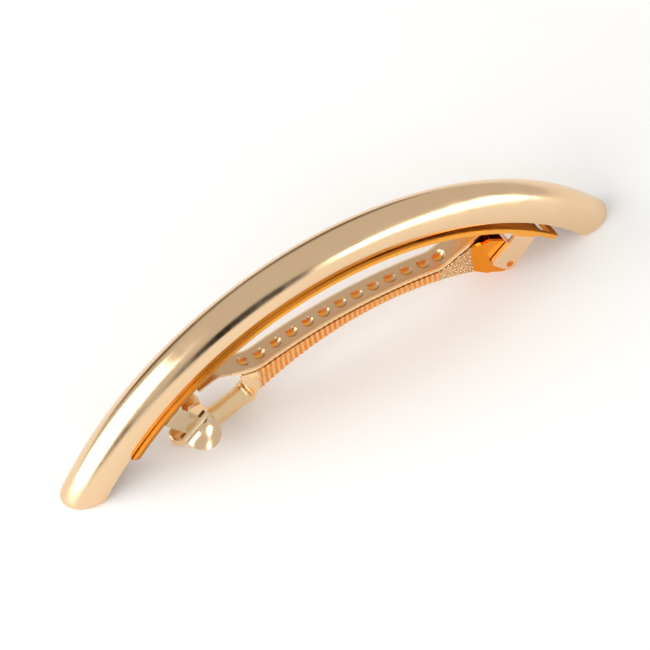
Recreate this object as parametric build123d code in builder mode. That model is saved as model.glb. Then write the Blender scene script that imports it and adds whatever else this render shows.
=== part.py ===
from build123d import *
from math import acos, asin, atan, atan2, cos, degrees, hypot, radians, sin, sqrt, tan
import os

# A hair barrette: an arched half-round bar with a hinged clip behind it.
# Millimetres. X runs along the bar, the hinge is at +X and the catch at -X, Y runs across
# and Z is up, towards the bar's crown. The origin is on the floor plane, midway between
# the two end faces that the arch stands on. The radius and angle of a place are counted
# from the arch's centre, the angle from straight up and positive towards the hinge.

# Front bar
arch_radius = 56.3  # at the bar's widest level
arch_rise = 25.7  # from the end faces up to the widest level at mid length
bar_width = 7.4
bar_crown = 4.3  # crown above the widest level
bar_skirt = 0.9  # straight sides below the widest level
bar_wall = 0.9
bar_end_wall = 0.9
bar_end_round = 0.7
bar_past_floor = 4.0  # degrees that the arch is drawn on before the floor cuts it

# Base plate
base_radius = 52.83  # of its underside
base_drop = 0.95  # its underside below the bar's rim, where it comes nearest
base_shift = -0.6  # its centre, along the bar
base_left_x = -39.7
base_right_x = 40.2
base_width = 9.0
base_thickness = 0.8
base_left_corner = 1.3
base_right_corner = 0.8
edge_match = 0.01  # within which an edge is as long as the plate is thick
slot_angle = 45.5
slot_length = 2.7
slot_rim = 0.7  # plate left beside the slot

# Hinge ears and pin
pin_angle = 41.35
pin_radius = 47.45  # from the arch's centre to the pin's
pin_diameter = 1.3
pin_proud = 0.12
ear_thickness = 0.7
ear_right = 1.6  # beyond the pin's centre
ear_left_top = 2.5  # before the pin's centre, at the plate
ear_left_foot = 4.1
ear_heel = 0.5  # below the pin's centre at the left
ear_below_pin = 1.5
ear_heel_round = 0.9
ear_toe_round = 1.2

# Catch
catch_angle = -36.6
catch_width = 8.8
catch_thickness = 0.6
catch_leg_width = 3.5
catch_leg_length = 6.2  # from the base's underside to where the tab flares
catch_bend = 0.9
tab_width = 6.0
tab_reach = 3.5  # sideways, past the leg
tab_flare_angle = 52.0
tab_flare_radius = 1.6

# Tension bar, by its upper face
tension_radius = 76.0
tension_middle_x = 2.2
tension_middle_z = 12.15
tension_width = 4.2
tension_thickness = 0.45
tension_lip = 0.2  # edges turned down below the thickness
tension_left_x = -13.4
tension_right_x = 19.0
tension_lead = 0.15  # straight part between the long arc and a bend
tension_bend = 3.5
bend_tries = 8  # rounds in which a bend's corner settles
tongue_neck_x = -21.8
tongue_neck_z = 12.7
tongue_end_x = -25.6
tongue_end_z = 11.7
tongue_half_width = 1.5
taper_start_x = -17.5
taper_end_x = -21.4
ramp_angle = 34.4  # where the ramp reaches the base
tab_angle = 37.5  # where its flat tab ends
ramp_bend = 0.8
lip_end_x = 27.8
dimple_count = 13
dimple_pitch = 3.12
dimple_diameter = 2.1
dimple_depth = 0.4
dimple_middle_x = 2.4

# Clip arm
arm_width = 4.5
arm_wall = 0.55
arm_floor = 0.55
arm_radius = 47.0  # of its underside between neck and hinge
arm_middle_x = 5.2
arm_middle_z = 9.6
arm_gap = 0.12  # below the tension bar
arm_hinge_x = 25.4  # where the underside's arc ends
heel_x = 28.1  # corner of the underside before the knuckle
heel_z = 4.4
knuckle_radius = 2.3
knuckle_start_x = 25.8
knuckle_full_x = 27.6
shoulder_x = 25.9  # along the wall's top: shoulder, step, crown, brow
shoulder_z = 11.2
step_x = 26.6
step_z = 11.5
crown_left_x = 27.2
crown_right_x = 28.9
crown_z = 12.1
brow_x = 31.4
brow_z = 10.2

# Neck and tongue of the arm
neck_x = -15.4
neck_foot_x = -16.2
neck_foot_z = 2.7
neck_plan_x = -17.9  # where the tongue starts to widen
neck_taper = 2.6
neck_round = 0.7
neck_lead = 1.0  # straight start of the floor after the neck
wall_left_x = -17.7
wall_left_foot_z = 7.7
wall_notch_x = -15.9
wall_notch_z = 5.3
wall_round = 0.35
tip_x = -31.1
tip_z = 0.6  # underside of the tongue's tip
tip_flat_x = -26.5
tongue_bend_x = -21.8
tongue_bend_z = 1.0
arm_tongue_width = 3.2
arm_tongue_depth = 1.3
arm_tongue_wall = 0.5
lug_x = -26.3
lug_width = 3.4
lug_top_z = 8.6
lug_lean = 0.3  # of its left edge
lug_slant = 1.0  # of its right corner, along
lug_slant_depth = 2.2

rib_pitch = 0.95
rib_root = 0.62
rib_crest = 0.3
rib_height = 0.14
rib_first_x = -14.0
rib_count = 36

# Fits
seat_gap = 0.1
pin_clearance = 0.05
knuckle_clearance = 0.15

arch_z = arch_rise - arch_radius
rim_radius = arch_radius - bar_skirt
knuckle_half_width = base_width / 2 - ear_thickness - knuckle_clearance
arch_axis = Axis((0, 0, arch_z), (0, 1, 0))


def seat_height(x):
    """How far above the arch's centre the base's may be for its underside to keep to the rim at x."""
    return sqrt((rim_radius - base_drop) ** 2 - x**2) - sqrt(base_radius**2 - (x - base_shift) ** 2)


base_rise = min(seat_height(x) for x in (base_left_x, base_shift, base_right_x))
base_axis = Axis((base_shift, 0, arch_z + base_rise), (0, 1, 0))


def polar(radius, angle):
    """The (x, z) of a place given by its radius and angle from the arch's centre."""
    return (radius * sin(radians(angle)), arch_z + radius * cos(radians(angle)))


def across(centre, angle):
    """The plane across an arch at an angle: local x is Y and local y is the radius."""
    tangent = (cos(radians(angle)), 0, -sin(radians(angle)))
    return Plane(origin=centre, x_dir=(0, 1, 0), z_dir=tangent)


def beside(place, angle, y):
    """The plane facing -Y at a place: local x runs along the arch and local y outwards."""
    tangent = (cos(radians(angle)), 0, -sin(radians(angle)))
    return Plane(origin=(place[0], y, place[1]), x_dir=tangent, z_dir=(0, -1, 0))


def facing_out(place, angle):
    """The plane that faces outwards at a place: local x is Y."""
    outwards = (sin(radians(angle)), 0, cos(radians(angle)))
    return Plane(origin=(place[0], 0, place[1]), x_dir=(0, 1, 0), z_dir=outwards)


def underside(angle):
    """The radius of the base plate's underside at an angle."""
    along = base_shift * sin(radians(angle)) + base_rise * cos(radians(angle))
    sideways = base_shift * cos(radians(angle)) - base_rise * sin(radians(angle))
    return along + sqrt(base_radius**2 - sideways**2)


def on_arc(x, middle_x, middle_z, radius):
    """The place at x on an arc whose top is at (middle_x, middle_z)."""
    return (x, middle_z - radius + sqrt(radius**2 - (x - middle_x) ** 2))


def on_tension(x, below=0.0):
    """The place at x on the tension bar's long arc, or below it."""
    return on_arc(x, tension_middle_x, tension_middle_z - below, tension_radius - below)


def on_arm(x, above=0.0):
    """The place at x on the arm's underside, or above it."""
    return on_arc(x, arm_middle_x, arm_middle_z + above, arm_radius + above)


def ahead(place, slope, length):
    """The place reached from another along a slope in degrees."""
    return (place[0] + length * cos(radians(slope)), place[1] + length * sin(radians(slope)))


def bend_corner(end, slope, far):
    """The corner of the sprung bar's bend between the end of its long arc and a far place."""
    corner = end
    for _ in range(bend_tries):
        onward = degrees(atan2(far[1] - corner[1], far[0] - corner[0]))
        turn = abs((onward - slope + 180) % 360 - 180)
        corner = ahead(end, slope, tension_bend * tan(radians(turn / 2)) + tension_lead)
    return corner


os.makedirs("parts", exist_ok=True)

# Front bar: an arched half-tube, open towards the clip, with a flat wall at each end
bar_half_angle = degrees(acos(-arch_z / (arch_radius + bar_crown))) + bar_past_floor


def bar_section(half_width, crown, foot_radius):
    """The arched section of the bar, open or filled down to foot_radius."""
    with BuildLine() as outline:
        right = Line((half_width, foot_radius), (half_width, arch_radius))
        arch = EllipticalCenterArc((0, arch_radius), half_width, crown, 0, arc_size=180)
        left = Line((-half_width, arch_radius), (-half_width, foot_radius))
        Line(left @ 1, right @ 0)
    make_face(outline.edges())


with BuildPart() as bar_hollow:
    with BuildSketch(across((0, 0, arch_z), -bar_half_angle)):
        bar_section(bar_width / 2 - bar_wall, bar_crown - bar_wall, rim_radius - bar_skirt)
    revolve(axis=arch_axis, revolution_arc=2 * bar_half_angle)
    split(bisect_by=Plane.XY.offset(bar_end_wall), keep=Keep.TOP)

with BuildPart() as front_bar:
    with BuildSketch(across((0, 0, arch_z), -bar_half_angle)):
        bar_section(bar_width / 2, bar_crown, rim_radius)
    revolve(axis=arch_axis, revolution_arc=2 * bar_half_angle)
    split(bisect_by=Plane.XY, keep=Keep.TOP)
    fillet(front_bar.faces().sort_by(Axis.Z)[:2].edges(), bar_end_round)
    add(bar_hollow.part, mode=Mode.SUBTRACT)
front_bar.part.label = "front_bar"
export_step(front_bar.part, "parts/front_bar.step")

# Base plate: an arched strip with two ears for the pin and a slot across it past them
base_left_angle = degrees(asin((base_left_x - base_shift) / base_radius))
base_right_angle = degrees(asin((base_right_x - base_shift) / base_radius))
pin_x, pin_z = polar(pin_radius, pin_angle)
ear_top = underside(pin_angle) + base_thickness / 2 - pin_radius
slot_place = polar(underside(slot_angle), slot_angle)

with BuildPart() as base_plate:
    with BuildSketch(across((base_shift, 0, arch_z + base_rise), base_left_angle)):
        with Locations((0, base_radius + base_thickness / 2)):
            Rectangle(base_width, base_thickness)
    revolve(axis=base_axis, revolution_arc=base_right_angle - base_left_angle)
    corners = base_plate.edges().filter_by(lambda e: abs(e.length - base_thickness) < edge_match).sort_by(Axis.X)
    fillet(corners[:2], base_left_corner)
    fillet(corners[2:], base_right_corner)
    with BuildSketch(facing_out(slot_place, slot_angle)):
        RectangleRounded(base_width - 2 * slot_rim, slot_length, slot_length / 4)
    extrude(amount=2 * base_thickness, both=True, mode=Mode.SUBTRACT)
    with BuildSketch(beside((pin_x, pin_z), pin_angle, -(base_width / 2 - ear_thickness))) as ear_outline:
        Polygon((-ear_left_top, ear_top), (-ear_left_foot, -ear_heel), (ear_right, -ear_below_pin),
                (ear_right, ear_top), align=None)
        fillet(ear_outline.vertices().sort_by(Axis.X)[0], ear_heel_round)
        fillet(ear_outline.vertices().sort_by(Axis.Y)[0], ear_toe_round)
    ear = extrude(amount=ear_thickness)
    mirror(ear, about=Plane.XZ)
    with Locations(Plane(origin=(pin_x, 0, pin_z), z_dir=(0, -1, 0))):
        Cylinder(pin_diameter / 2, 2 * base_width, mode=Mode.SUBTRACT)
base_plate.part.label = "base_plate"
export_step(base_plate.part, "parts/base_plate.step")

# Hinge pin: a plain pin through the ears, a little proud of them
with BuildPart() as hinge_pin:
    with BuildSketch(Plane.XZ):
        with Locations((pin_x, pin_z)):
            Circle(pin_diameter / 2)
    extrude(amount=base_width / 2 + pin_proud, both=True)
    chamfer(hinge_pin.edges().filter_by(GeomType.CIRCLE), pin_proud)
hinge_pin.part.label = "hinge_pin"
export_step(hinge_pin.part, "parts/hinge_pin.step")

# Catch: a folded strip, its web on the base's underside, its legs ending in flared tabs
web_radius = underside(catch_angle) - seat_gap
leg_foot = web_radius - catch_leg_length
flare_out = tab_reach - tab_flare_radius * (1 - cos(radians(tab_flare_angle)))
flare_length = flare_out / sin(radians(tab_flare_angle))
flare_drop = tab_flare_radius * sin(radians(tab_flare_angle)) + flare_length * cos(radians(tab_flare_angle))
tab_tip = leg_foot - flare_drop
tab_nose = tab_width / 2 * cos(radians(tab_flare_angle))  # height of the tab's half-round end

with BuildPart() as catch:
    with BuildSketch(across((0, 0, arch_z), catch_angle)):
        with BuildLine():
            web = Line((0, web_radius), (catch_width / 2 - catch_bend, web_radius))
            bend = JernArc(web @ 1, web % 1, catch_bend, -90)
            leg = Line(bend @ 1, (catch_width / 2, leg_foot))
            flare = JernArc(leg @ 1, leg % 1, tab_flare_radius, tab_flare_angle)
            tab = Line(flare @ 1, flare @ 1 + (flare % 1) * flare_length)
            offset(amount=catch_thickness, side=Side.RIGHT)
        make_face()
    extrude(amount=tab_width / 2, both=True)
    with BuildSketch(beside((0, arch_z), catch_angle, 0)) as tab_outline:
        with Locations((0, leg_foot - tab_flare_radius / 2)):
            Rectangle(catch_leg_width, catch_leg_length + catch_bend + tab_flare_radius,
                      align=(Align.CENTER, Align.MIN))
        with Locations((0, tab_tip + tab_nose)):
            Ellipse(tab_width / 2, tab_nose)
            Rectangle(tab_width, leg_foot - tab_tip - tab_nose, align=(Align.CENTER, Align.MIN))
    extrude(amount=base_width, both=True, mode=Mode.INTERSECT)
    mirror(about=Plane.XZ)
catch.part.label = "catch"
export_step(catch.part, "parts/catch.step")

# Tension bar: a sprung strip, arched towards the base, with a row of round dimples and edges
# turned down. Its left end is free. At the right it climbs to a flat tab under the base
left_slope = degrees(asin((tension_middle_x - tension_left_x) / tension_radius))
right_slope = -degrees(asin((tension_right_x - tension_middle_x) / tension_radius))
left_end = on_tension(tension_left_x)
left_foot = bend_corner(left_end, left_slope + 180, (tongue_neck_x, tongue_neck_z))
right_end = on_tension(tension_right_x)
ramp_top = polar(underside(ramp_angle) - seat_gap, ramp_angle)
right_foot = bend_corner(right_end, right_slope, ramp_top)
tab_end = polar(underside(tab_angle) - seat_gap, tab_angle)
ramp_middle = ((right_foot[0] + ramp_top[0]) / 2, (right_foot[1] + ramp_top[1]) / 2)
dimple_sphere = (dimple_diameter**2 / 4 + dimple_depth**2) / (2 * dimple_depth)
half = tension_width / 2
lip_depth = tension_thickness + tension_lip


def upper_face(x):
    """The height of the strip's upper face at x and its slope in degrees."""
    if x < left_foot[0]:
        rise = (left_foot[1] - tongue_neck_z) / (left_foot[0] - tongue_neck_x)
        return left_foot[1] + rise * (x - left_foot[0]), degrees(atan(rise))
    if x > right_foot[0]:
        rise = (ramp_top[1] - right_foot[1]) / (ramp_top[0] - right_foot[0])
        return right_foot[1] + rise * (x - right_foot[0]), degrees(atan(rise))
    return on_tension(x)[1], -degrees(asin((x - tension_middle_x) / tension_radius))


def dimple_places():
    """The centres of the spheres that press the dimples."""
    for index in range(dimple_count):
        x = dimple_middle_x + (index - (dimple_count - 1) / 2) * dimple_pitch
        height, slope = upper_face(x)
        centre = ahead((x, height), slope + 90, dimple_sphere - dimple_depth)
        yield (centre[0], 0, centre[1])


with BuildLine() as tension_path:
    FilletPolyline((tongue_end_x, tongue_end_z), (tongue_neck_x, tongue_neck_z), left_foot, left_end,
                   radius=tension_bend)
    ThreePointArc(left_end, on_tension(tension_middle_x), right_end)
    FilletPolyline(right_end, right_foot, ramp_middle, radius=tension_bend)
    FilletPolyline(ramp_middle, ramp_top, tab_end, radius=ramp_bend)
tension_edge = Wire(tension_path.edges()).offset_2d(tension_thickness, side=Side.RIGHT)
lip_edge = Wire(tension_path.edges()).offset_2d(lip_depth, side=Side.RIGHT)
bump_edge = Wire(tension_path.edges()).offset_2d(2 * tension_thickness, side=Side.RIGHT)
bump_top = Wire(tension_path.edges()).offset_2d(tension_thickness / 2, side=Side.RIGHT)

with BuildPart() as lips:
    with BuildSketch(Plane.XZ.offset(half)):
        make_face(lip_edge.edges())
    lip = extrude(amount=-tension_thickness)
    mirror(lip, about=Plane.XZ)
    with BuildSketch(Plane.XY):
        with Locations((lip_end_x, 0)):
            Rectangle(lip_end_x - taper_start_x, 2 * tension_width, align=(Align.MAX, Align.CENTER))
    extrude(amount=arch_rise, mode=Mode.INTERSECT)

with BuildPart() as bumps:
    with Locations(*[Location(place) for place in dimple_places()]):
        Sphere(dimple_sphere + tension_thickness)
    with BuildSketch(Plane.XZ):
        make_face(bump_edge.edges())
        make_face(bump_top.edges(), mode=Mode.SUBTRACT)
    extrude(amount=tension_width, both=True, mode=Mode.INTERSECT)

with BuildPart() as tension_bar:
    with BuildSketch(Plane.XZ):
        make_face(tension_edge.edges())
    extrude(amount=half, both=True)
    with BuildSketch(Plane.XY):
        with BuildLine():
            near = Spline((taper_start_x, half), (taper_end_x, tongue_half_width),
                          tangents=((-1, 0), (-1, 0)))
            Polyline(near @ 1, (base_left_x, tongue_half_width), (base_left_x, 0), (base_right_x, 0),
                     (base_right_x, half), near @ 0)
        make_face()
        mirror(about=Plane.XZ)
    extrude(amount=arch_rise, mode=Mode.INTERSECT)
    add(lips.part)
    add(bumps.part)
    with Locations(*[Location(place) for place in dimple_places()]):
        Sphere(dimple_sphere, mode=Mode.SUBTRACT)
tension_bar.part.label = "tension_bar"
export_step(tension_bar.part, "parts/tension_bar.step")

# Clip arm: a channel open towards the base, ribbed along both sides, ending in a tongue
wall_drop = lip_depth + arm_gap
wall_right = on_tension(tension_right_x, wall_drop)
wall_foot = (right_foot[0], right_foot[1] - wall_drop)
heel_turn = asin(knuckle_radius / hypot(pin_x - heel_x, pin_z - heel_z))
knuckle_angle = degrees(atan2(pin_z - heel_z, pin_x - heel_x) - heel_turn) - 90
wall_left = on_tension(tension_left_x, wall_drop)


def channel_floor(above, neck_shift):
    """The line of the tongue, the neck and the floor as far as the pin, raised by above."""
    step_top = on_arm(neck_x - neck_shift, above)
    lead = on_arm(neck_x - neck_shift + neck_lead, above)
    FilletPolyline((tip_x + neck_shift, tip_z + above), (tip_flat_x, tip_z + above),
                   (tongue_bend_x, tongue_bend_z + above), (neck_foot_x - neck_shift, neck_foot_z + above),
                   step_top, lead, radius=neck_round)
    hinge = on_arm(arm_hinge_x, above)
    ThreePointArc(lead, on_arm(arm_middle_x, above), hinge)
    Polyline(hinge, (heel_x, heel_z + above), ahead((pin_x, pin_z), knuckle_angle, knuckle_radius - above),
             (pin_x, pin_z))


def plan_outline(tongue_half, channel_half, knuckle_half, tip):
    """Half of the arm's plan: tongue with a round tip, channel and wider knuckle."""
    with BuildLine() as half_plan:
        nose = CenterArc((tip + tongue_half, 0), tongue_half, 90, 90)
        FilletPolyline(nose @ 0, (neck_plan_x, tongue_half), (neck_plan_x + neck_taper, channel_half),
                       (knuckle_start_x, channel_half), (knuckle_full_x, knuckle_half),
                       (base_right_x, knuckle_half), radius=neck_round)
        Polyline((base_right_x, knuckle_half), (base_right_x, 0), nose @ 1)
    make_face(half_plan.edges())
    mirror(about=Plane.XZ)


with BuildSketch(Plane.XZ) as arm_side:
    with BuildLine():
        channel_floor(0, 0)
        Polyline((pin_x, pin_z), (pin_x + knuckle_radius, pin_z), (brow_x, brow_z),
                 (crown_right_x, crown_z), (crown_left_x, crown_z), (step_x, step_z),
                 (shoulder_x, shoulder_z), wall_foot, wall_right)
        ThreePointArc(wall_right, on_tension(tension_middle_x, wall_drop), wall_left)
        FilletPolyline(wall_left, (wall_left_x, wall_left[1]), (wall_left_x, wall_left_foot_z),
                       (wall_notch_x, wall_notch_z), (neck_foot_x, neck_foot_z + arm_tongue_depth),
                       (tongue_bend_x, tongue_bend_z + arm_tongue_depth),
                       (tip_flat_x, tip_z + arm_tongue_depth), (tip_x, tip_z + arm_tongue_depth),
                       (tip_x, tip_z), radius=wall_round)
    make_face()
    with Locations((pin_x, pin_z)):
        Circle(knuckle_radius)
    with BuildLine():
        Polyline((lug_x - lug_width / 2, tip_z + arm_tongue_depth / 2),
                 (lug_x - lug_width / 2 + lug_lean, lug_top_z),
                 (lug_x + lug_width / 2 - lug_slant, lug_top_z),
                 (lug_x + lug_width / 2, lug_top_z - lug_slant_depth),
                 (lug_x + lug_width / 2, tip_z + arm_tongue_depth / 2), close=True)
    make_face()

with BuildPart() as arm_hollow:
    with BuildSketch(Plane.XZ):
        with BuildLine():
            channel_floor(arm_floor, arm_floor)
            Polyline((pin_x, pin_z), (pin_x, arch_rise), (tip_x + arm_floor, arch_rise),
                     (tip_x + arm_floor, tip_z + arm_floor))
        make_face()
        with Locations((pin_x, pin_z)):
            Circle(knuckle_radius - arm_floor)
    extrude(amount=base_width, both=True)
    with BuildSketch(Plane.XY):
        plan_outline(arm_tongue_width / 2 - arm_tongue_wall, arm_width / 2 - arm_wall,
                     knuckle_half_width - arm_wall, tip_x + arm_tongue_wall)
    extrude(amount=arch_rise, mode=Mode.INTERSECT)

with BuildPart() as ribs:
    for index in range(rib_count):
        x = rib_first_x + index * rib_pitch
        angle = asin((x - arm_middle_x) / arm_radius)
        foot_x, foot_z = on_arm(x, -arm_floor)
        rib_plane = Plane(origin=(foot_x, 0, foot_z), x_dir=(cos(angle), 0, -sin(angle)),
                          z_dir=(sin(angle), 0, cos(angle)))
        crest_y = arm_width / 2 + rib_height
        root_y = arm_width / 2 - rib_height
        with BuildSketch(rib_plane):
            Polygon((-rib_root / 2, root_y), (-rib_crest / 2, crest_y), (rib_crest / 2, crest_y),
                    (rib_root / 2, root_y), (rib_root / 2, -root_y), (rib_crest / 2, -crest_y),
                    (-rib_crest / 2, -crest_y), (-rib_root / 2, -root_y), align=None)
        extrude(amount=arm_width)
    extrude(arm_side.sketch, amount=base_width, both=True, mode=Mode.INTERSECT)

with BuildPart() as clip_arm:
    extrude(arm_side.sketch, amount=base_width, both=True)
    with BuildSketch(Plane.XY):
        plan_outline(arm_tongue_width / 2, arm_width / 2, knuckle_half_width, tip_x)
    extrude(amount=arch_rise, mode=Mode.INTERSECT)
    add(ribs.part)
    add(arm_hollow.part, mode=Mode.SUBTRACT)
    with Locations(Plane(origin=(pin_x, 0, pin_z), z_dir=(0, -1, 0))):
        Cylinder(pin_diameter / 2 + pin_clearance, 2 * base_width, mode=Mode.SUBTRACT)
clip_arm.part.label = "clip_arm"
export_step(clip_arm.part, "parts/clip_arm.step")
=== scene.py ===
import bpy
import math
from mathutils import Matrix, Vector

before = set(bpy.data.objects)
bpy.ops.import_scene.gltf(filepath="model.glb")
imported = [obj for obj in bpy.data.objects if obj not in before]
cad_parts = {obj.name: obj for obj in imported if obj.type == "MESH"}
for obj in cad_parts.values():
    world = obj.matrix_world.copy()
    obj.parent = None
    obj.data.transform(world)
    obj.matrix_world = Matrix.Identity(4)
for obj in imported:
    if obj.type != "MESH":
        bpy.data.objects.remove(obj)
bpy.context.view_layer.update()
MM = 0.001

# Where the looks change on the arm. X runs along it, towards the hinge
NECK = -15.0 * MM
RIBS_FROM = -14.6 * MM
RIBS_TO = 19.6 * MM
RIB_FIRST = -14.0 * MM
RIB_PITCH = 0.95 * MM
FACETS_FROM = 25.8 * MM
ARM_SIDES_FROM = 2.0 * MM
WALLS_FROM = 1.0 * MM
WALLS_TO = 1.85 * MM

# The catch's tabs, and the base's arch with its centre below the floor
TABS_FROM = 4.55 * MM
ARCH_CENTRE_DEPTH = 30.6 * MM
STRIP_INNER_RADIUS = 53.2 * MM
# Where the painted shade at the base's end by the catch starts, and over what length it fades in
END_SHADE_FROM = -12.0 * MM
END_SHADE_FADE = 12.0 * MM

# The sprung bar's turned-down edges, which get a painted highlight, and its dimples, which get
# painted shade
LIPS_FROM = 1.80 * MM
DIMPLE_MIDDLE = 2.4 * MM
DIMPLE_PITCH = 3.12 * MM
DIMPLE_RADIUS = 0.85 * MM
DIMPLE_SHIFT = 0.28 * MM
DIMPLE_STEEPNESS = 2.0
DIMPLES_FROM = -17.5 * MM
DIMPLES_TO = 22.5 * MM

# How strong the layers of colour are: the painted shade in the rib grooves, its mean and swing,
# and shares of the full colour
RIB_LEVEL = 0.64
RIB_SWING = 0.36
WALL_SHARE = 0.65
END_SHADE_SHARE = 0.85
SPECKLE_LEVEL = 0.36
SPECKLE_CONTRAST = 3.2
SPECKLE_LEAST = 0.25
SPECKLE_MOST = 0.9

# Depths of the relief in the materials
DENT_DEPTH = 0.8 * MM
SCRATCH_DEPTH = 0.01 * MM
PIT_DEPTH = 0.3 * MM

# Scale and detail of each noise. The scratches are drawn out along X by their stretch
DRIFT_NOISE = (60.0, 3.0)
SMEAR_NOISE = (240.0, 5.0)
DENT_NOISE = (420.0, 0.0)
SCRATCH_NOISE = (1.0, 2.0)
SCRATCH_STRETCH = (260.0, 5200.0, 5200.0)
SPECKLE_NOISE = (2200.0, 1.0)
PIT_SCALE = 2600.0

# Between which noise values the colour drifts, and the gloss goes from the least to the most
# of these shares of a piece's roughness
DRIFT_LOW, DRIFT_HIGH = 0.3, 0.62
SMEAR_LOW, SMEAR_HIGH = 0.3, 0.7
ROUGHNESS_LEAST, ROUGHNESS_MOST = 0.7, 1.35

CREAM = (0.84, 0.60, 0.37)
CREAM_DEEP = (0.82, 0.575, 0.345)
# A painted highlight's colour, for the arm's tongue and rib crests and the sprung bar's
# turned-down edges
HIGHLIGHT_PALE = (0.99, 0.72, 0.42)
TAN = (0.74, 0.51, 0.31)
TAN_DEEP = (0.69, 0.45, 0.25)
STEEL_TAN = (0.56, 0.43, 0.26)
# Painted shade and bounced light: in the dimples, on the base's strip, at the base's end by the
# catch, and in the arm's rib grooves, on its walls' inner faces and on its hinge facets
DIMPLE_SHADE_ORANGE = (0.92, 0.45, 0.09)
BOUNCE_AMBER = (0.92, 0.42, 0.06)
PLATE_END_SHADE = (0.42, 0.16, 0.02)
SHADE_AND_BOUNCE_ORANGE = (0.87, 0.29, 0.015)
PIN_DEEP_ORANGE = (0.74, 0.20, 0.015)
BROWN = (0.66, 0.33, 0.10)


def feed(tree, entry, value):
    """Joins a socket to a node's input, or sets a number or colour on the input itself."""
    if isinstance(value, bpy.types.NodeSocket):
        tree.links.new(value, entry)
    else:
        entry.default_value = value


def add(tree, kind, inputs, **settings):
    """A new node. Its settings come first, because some of them change what inputs it has."""
    node = tree.nodes.new(kind)
    for setting, value in settings.items():
        setattr(node, setting, value)
    for entry, value in inputs.items():
        feed(tree, node.inputs[entry], value)
    return node


def work(tree, operation, *values):
    """A maths node's result. Each value is a socket or a number."""
    node = add(tree, "ShaderNodeMath", dict(enumerate(values)), operation=operation)
    return node.outputs["Value"]


def noise(tree, vector, scale, detail):
    """A noise texture's result."""
    inputs = {"Vector": vector, "Scale": scale, "Detail": detail}
    return add(tree, "ShaderNodeTexNoise", inputs).outputs["Fac"]


def relief(tree, height, strength, depth, normal):
    """The surface's normal with a relief on top of the normal given, if there is one."""
    inputs = {"Height": height, "Strength": strength, "Distance": depth}
    if normal is not None:
        inputs["Normal"] = normal
    return add(tree, "ShaderNodeBump", inputs).outputs["Normal"]


def mixed(tree, share, first, second):
    """The first colour, with a share of the second laid over it."""
    inputs = {"Factor": share, "A": first, "B": second}
    return add(tree, "ShaderNodeMix", inputs, data_type="RGBA").outputs["Result"]


def between(tree, value, low, high):
    """1 where the value lies between low and high, 0 elsewhere."""
    above = work(tree, "GREATER_THAN", value, low)
    return work(tree, "MULTIPLY", above, work(tree, "LESS_THAN", value, high))


def clamp(tree, value, low, high):
    """The value, kept between low and high."""
    return work(tree, "MINIMUM", work(tree, "MAXIMUM", value, low), high)


def reach(tree, first, second):
    """The distance that two coordinates give."""
    squares = [work(tree, "POWER", value, 2.0) for value in (first, second)]
    return work(tree, "SQRT", work(tree, "ADD", *squares))


def off_middle(tree, y, limit):
    """1 where a place is further than the limit from the part's middle plane."""
    return work(tree, "GREATER_THAN", work(tree, "ABSOLUTE", y), limit)


# Each function from here to dimple_bowls says how much of its colour a place has
def rib_band(tree, x, y, z):
    """1 where the arm's sides are ribbed. The band is painted pale there, a painted highlight on
    the rib crests.
    """
    band = between(tree, x, RIBS_FROM, RIBS_TO)
    return work(tree, "MULTIPLY", band, off_middle(tree, y, ARM_SIDES_FROM))


def ribs(tree, x, y, z):
    """Painted shade in the arm's ribs: full in a groove, less on a crest."""
    along = work(tree, "SUBTRACT", x, RIB_FIRST)
    crest = work(tree, "COSINE", work(tree, "MULTIPLY", along, 2 * math.pi / RIB_PITCH))
    wave = work(tree, "MULTIPLY_ADD", crest, -RIB_SWING, RIB_LEVEL)
    return work(tree, "MULTIPLY", wave, rib_band(tree, x, y, z))


def pitted_sides(tree, x, y, z):
    """Speckles where the arm's sides are pitted."""
    spot = tree.nodes.new("ShaderNodeTexCoord").outputs["Object"]
    above = work(tree, "SUBTRACT", noise(tree, spot, *SPECKLE_NOISE), SPECKLE_LEVEL)
    speckle = clamp(
        tree, work(tree, "MULTIPLY", above, SPECKLE_CONTRAST), SPECKLE_LEAST, SPECKLE_MOST)
    return work(tree, "MULTIPLY", between(tree, x, RIBS_TO, FACETS_FROM), speckle)


def hinge_facets(tree, x, y, z):
    """1 on the arm's splayed facets and knuckle, which get a painted reflection in deep orange.
    """
    return work(tree, "GREATER_THAN", x, FACETS_FROM)


def channel_walls(tree, x, y, z):
    """Painted shade and bounced light on the inner faces of the arm's side walls."""
    inner = between(tree, work(tree, "ABSOLUTE", y), WALLS_FROM, WALLS_TO)
    share = work(tree, "MULTIPLY", inner, WALL_SHARE)
    return work(tree, "MULTIPLY", share, work(tree, "GREATER_THAN", x, NECK))


def tongue(tree, x, y, z):
    """1 on the arm's tongue, which gets a painted highlight."""
    return work(tree, "LESS_THAN", x, NECK)


def catch_tabs(tree, x, y, z):
    """1 on the catch's flared tabs, which get a painted highlight, 0 on its web and legs."""
    return off_middle(tree, y, TABS_FROM)


def plate_strip(tree, x, y, z):
    """1 on the base's arched strip, which gets painted bounced light, 0 on its ears, which hang
    below it.
    """
    up = work(tree, "ADD", z, ARCH_CENTRE_DEPTH)
    return work(tree, "GREATER_THAN", reach(tree, x, up), STRIP_INNER_RADIUS)


def plate_end_shading(tree, x, y, z):
    """Painted shade at the base's end by the catch, fading in towards it."""
    fade = work(tree, "DIVIDE", work(tree, "SUBTRACT", END_SHADE_FROM, x), END_SHADE_FADE)
    return work(tree, "MULTIPLY", clamp(tree, fade, 0.0, 1.0), END_SHADE_SHARE)


def strip_lips(tree, x, y, z):
    """1 on the sprung bar's edges, which are turned down and get a painted highlight."""
    return off_middle(tree, y, LIPS_FROM)


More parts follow.
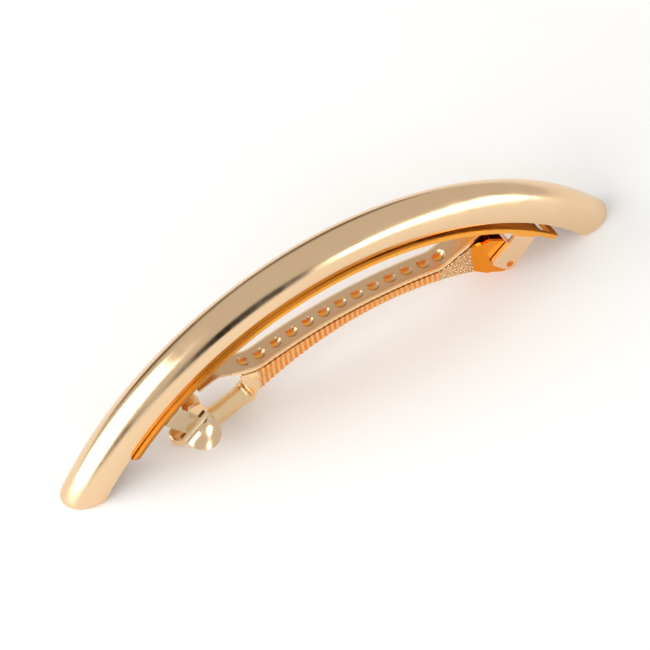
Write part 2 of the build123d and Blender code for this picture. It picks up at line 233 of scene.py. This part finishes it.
def dimple_bowls(tree, x, y, z):
    """Painted shade in the sprung bar's dimples, most on the side of each towards the catch."""
    step = work(tree, "DIVIDE", work(tree, "SUBTRACT", x, DIMPLE_MIDDLE), DIMPLE_PITCH)
    part = work(tree, "SUBTRACT", step, work(tree, "ROUND", step))
    along = work(tree, "ADD", work(tree, "MULTIPLY", part, DIMPLE_PITCH), DIMPLE_SHIFT)
    far = work(tree, "DIVIDE", reach(tree, along, y), DIMPLE_RADIUS)
    steep = work(tree, "MULTIPLY", work(tree, "SUBTRACT", 1.0, far), DIMPLE_STEEPNESS)
    row = between(tree, x, DIMPLES_FROM, DIMPLES_TO)
    return work(tree, "MULTIPLY", clamp(tree, steep, 0.0, 1.0), row)


def plated(name, tint, deep, roughness, grain, layers=(), dents=0.0, pit=0.0):
    """Warm gold plating: a slow drift of colour, a smeared gloss, hairline scratches, shallow
    dents where asked and, where the arm's sides are pitted, pits. Each layer is a place and
    the colour painted there, most of them painted highlights, shade or bounced light. A tint
    with itself as its deep colour has no drift."""
    mat = bpy.data.materials.new(name)
    mat.use_nodes = True
    tree = mat.node_tree
    tree.nodes.clear()
    spot = tree.nodes.new("ShaderNodeTexCoord").outputs["Object"]
    x, y, z = add(tree, "ShaderNodeSeparateXYZ", {"Vector": spot}).outputs

    colour = (*tint, 1)
    if deep != tint:
        drift = add(tree, "ShaderNodeValToRGB", {"Fac": noise(tree, spot, *DRIFT_NOISE)})
        low, high = drift.color_ramp.elements
        low.position, low.color = DRIFT_LOW, (*deep, 1)
        high.position, high.color = DRIFT_HIGH, (*tint, 1)
        colour = drift.outputs["Color"]
    for place, layer in layers:
        colour = mixed(tree, place(tree, x, y, z), colour, (*layer, 1))

    gloss = add(tree, "ShaderNodeMapRange", {
        "Value": noise(tree, spot, *SMEAR_NOISE),
        "From Min": SMEAR_LOW,
        "From Max": SMEAR_HIGH,
        "To Min": roughness * ROUGHNESS_LEAST,
        "To Max": roughness * ROUGHNESS_MOST,
    })

    normal = None
    if dents:
        normal = relief(tree, noise(tree, spot, *DENT_NOISE), dents, DENT_DEPTH, normal)
    drawn = add(tree, "ShaderNodeMapping", {"Vector": spot, "Scale": SCRATCH_STRETCH})
    scratches = noise(tree, drawn.outputs["Vector"], *SCRATCH_NOISE)
    normal = relief(tree, scratches, grain, SCRATCH_DEPTH, normal)
    if pit:
        cells = add(tree, "ShaderNodeTexVoronoi", {"Vector": spot, "Scale": PIT_SCALE})
        sides = between(tree, x, RIBS_TO, FACETS_FROM)
        pits = work(tree, "MULTIPLY", cells.outputs["Distance"], sides)
        normal = relief(tree, pits, pit, PIT_DEPTH, normal)

    metal = add(tree, "ShaderNodeBsdfPrincipled", {
        "Base Color": colour,
        "Metallic": 1.0,
        "Roughness": gloss.outputs["Result"],
        "Normal": normal,
    })
    add(tree, "ShaderNodeOutputMaterial", {"Surface": metal.outputs["BSDF"]})
    return mat


looks = {
    "front_bar": plated("bar_plating", CREAM, CREAM_DEEP, 0.18, 0.10),
    # The base: painted bounced light on its arched strip and painted shade at its end by the
    # catch
    "base_plate": plated(
        "plate_plating", CREAM, CREAM_DEEP, 0.34, 0.25,
        [(plate_strip, BOUNCE_AMBER), (plate_end_shading, PLATE_END_SHADE)]),
    # The catch: its flared tabs painted lighter than its web and legs, a painted highlight
    "catch": plated(
        "catch_plating", STEEL_TAN, STEEL_TAN, 0.10, 0.20,
        [(catch_tabs, CREAM)], dents=0.35),
    # The pin: one deep orange all over
    "hinge_pin": plated("pin_plating", PIN_DEEP_ORANGE, PIN_DEEP_ORANGE, 0.26, 0.30),
    # The sprung bar: painted shade in its dimples and a painted highlight on its turned-down
    # edges
    "tension_bar": plated(
        "strip_plating", TAN, TAN_DEEP, 0.27, 0.30,
        [(dimple_bowls, DIMPLE_SHADE_ORANGE), (strip_lips, HIGHLIGHT_PALE)]),
    # The arm: painted highlights on its tongue and ribbed sides, painted shade in its rib grooves
    # and on its walls' inner faces, and a painted reflection on its hinge facets
    "clip_arm": plated(
        "arm_plating", CREAM, CREAM_DEEP, 0.22, 0.25,
        [(tongue, HIGHLIGHT_PALE), (channel_walls, SHADE_AND_BOUNCE_ORANGE), (rib_band, HIGHLIGHT_PALE), (ribs, SHADE_AND_BOUNCE_ORANGE),
         (pitted_sides, BROWN), (hinge_facets, SHADE_AND_BOUNCE_ORANGE)], dents=0.10, pit=1.0),
}
for node, look in looks.items():
    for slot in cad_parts[node].material_slots:
        slot.material = look

# The floor: pale, matt and 8 m square
FLOOR_HALF = 4.0
paint = bpy.data.materials.new("pale_floor")
paint.use_nodes = True
shader = paint.node_tree.nodes["Principled BSDF"]
shader.inputs["Base Color"].default_value = (0.97, 0.97, 0.97, 1)
shader.inputs["Roughness"].default_value = 0.9
shader.inputs["Specular IOR Level"].default_value = 0.0
corners = [(FLOOR_HALF * x, FLOOR_HALF * y, 0) for x, y in ((-1, -1), (1, -1), (1, 1), (-1, 1))]
mesh = bpy.data.meshes.new("floor")
mesh.from_pydata(corners, [], [(0, 1, 2, 3)])
mesh.materials.append(paint)
floor = bpy.data.objects.new("floor", mesh)
bpy.context.scene.collection.objects.link(floor)

# The room: pale all round, with soft darker areas near the horizon, which stay where they are
# whichever way the camera looks. Each has the azimuth and elevation of its middle, how far
# its full colour and its soft edge reach from there, all in degrees, and its colour
ROOM_STRENGTH = 0.68
ROOM_COLOUR = (1.0, 0.985, 0.955, 1)
DARK_AREAS = (
    (-93, 14, 12, 18, (0.008, 0.006, 0.004)),
    (-128, 2, 5, 12, (0.03, 0.02, 0.015)),
    (75, 3, 8, 26, (0.30, 0.24, 0.18)),
    (105, 3, 8, 26, (0.30, 0.24, 0.18)),
)


def toward(azimuth, elevation):
    """The unit vector of a direction given in degrees, azimuth 0 being +X and 90 being +Y."""
    turn, rise = math.radians(azimuth), math.radians(elevation)
    return (math.cos(turn) * math.cos(rise), math.sin(turn) * math.cos(rise), math.sin(rise))


world = bpy.data.worlds.new("studio")
world.use_nodes = True
room = world.node_tree
direction = room.nodes.new("ShaderNodeTexCoord").outputs["Generated"]
shade = ROOM_COLOUR
for azimuth, elevation, inner, outer, colour in DARK_AREAS:
    middle = toward(azimuth, elevation)
    facing = add(room, "ShaderNodeVectorMath", {0: direction, 1: middle}, operation="DOT_PRODUCT")
    fade = add(room, "ShaderNodeMapRange", {
        "Value": facing.outputs["Value"],
        "From Min": math.cos(math.radians(outer)),
        "From Max": math.cos(math.radians(inner)),
    }, interpolation_type="SMOOTHSTEP")
    shade = mixed(room, fade.outputs["Result"], shade, (*colour, 1))
sky = room.nodes["Background"]
sky.inputs["Strength"].default_value = ROOM_STRENGTH
feed(room, sky.inputs["Color"], shade)
bpy.context.scene.world = world

LAMP_AIM = Vector((0, 0, 0.02))


def softbox(name, place, width, height, glow):
    """A soft lamp that faces the barrette; glow is how bright its face looks."""
    lamp = bpy.data.lights.new(name, "AREA")
    lamp.shape = "RECTANGLE"
    lamp.size = width
    lamp.size_y = height
    lamp.energy = glow * math.pi * width * height
    holder = bpy.data.objects.new(name, lamp)
    holder.location = place
    holder.rotation_mode = "QUATERNION"
    holder.rotation_quaternion = (LAMP_AIM - Vector(place)).to_track_quat("-Z", "Y")
    bpy.context.scene.collection.objects.link(holder)


softbox("west_box", (-0.86, -0.02, 0.42), 1.30, 0.80, 3.5)
softbox("front_strip", (0.56, -0.60, 0.140), 0.84, 0.27, 3.4)

# The camera looks from the photo's side, from far off with a long lens. Its three axes come
# from the photo, and it aims at the middle of the photo's frame. Lengths in mm
right = Vector((0.8459, -0.5256, -0.0900)).normalized()
up = Vector((0.4665, 0.6475, 0.6024))
up = (up - right * up.dot(right)).normalized()
back = right.cross(up)
aim = Vector((0, 0, 25.7)) + 0.796 * right - 10.65 * up
distance = 4500.0
view_width = 104.7

lens = bpy.data.cameras.new("camera")
lens.sensor_width = 36.0
lens.lens = lens.sensor_width * distance / view_width
lens.clip_start = 0.05
lens.clip_end = 20.0
camera = bpy.data.objects.new("camera", lens)
camera.matrix_world = Matrix.Translation((aim + distance * back) * MM) @ Matrix(
    (right, up, back)).transposed().to_4x4()
bpy.context.scene.collection.objects.link(camera)
bpy.context.scene.camera = camera
bpy.context.scene.view_settings.view_transform = "Standard"
